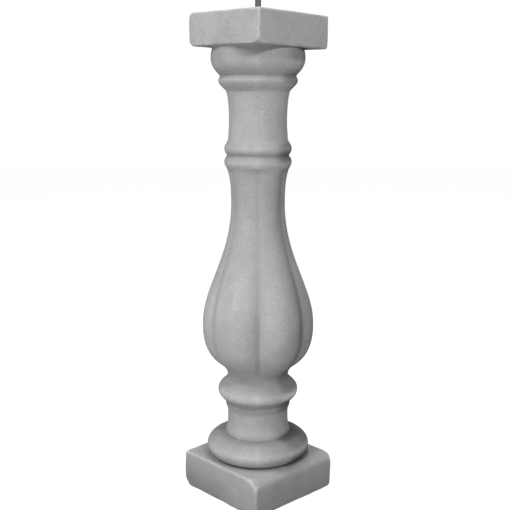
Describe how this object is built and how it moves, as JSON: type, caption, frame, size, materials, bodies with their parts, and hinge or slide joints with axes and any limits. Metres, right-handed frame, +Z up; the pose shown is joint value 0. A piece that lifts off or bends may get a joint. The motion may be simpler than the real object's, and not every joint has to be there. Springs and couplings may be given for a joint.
{
  "type": "stone baluster",
  "caption": "Cast-stone baluster with a square plinth, turned mouldings, a lobed vase body and a square cap that a steel bar stands out of, to carry a balustrade's rail.",
  "frame": {"origin": "middle of the plinth's underside", "axes": "+Z up the baluster's axis, X and Y along the plinth's sides"},
  "size_m": [0.1538, 0.1554, 0.718],
  "materials": {
    "cast_stone": "smooth matt grey cast cement with a fine grain, faint mottling and softly worn edges",
    "steel_bar": "plain round mild-steel bar, dark and dull"
  },
  "bodies": {
    "root": {"baluster": "cast_stone", "dowel_bar": "steel_bar"}
  },
  "joints": []
}
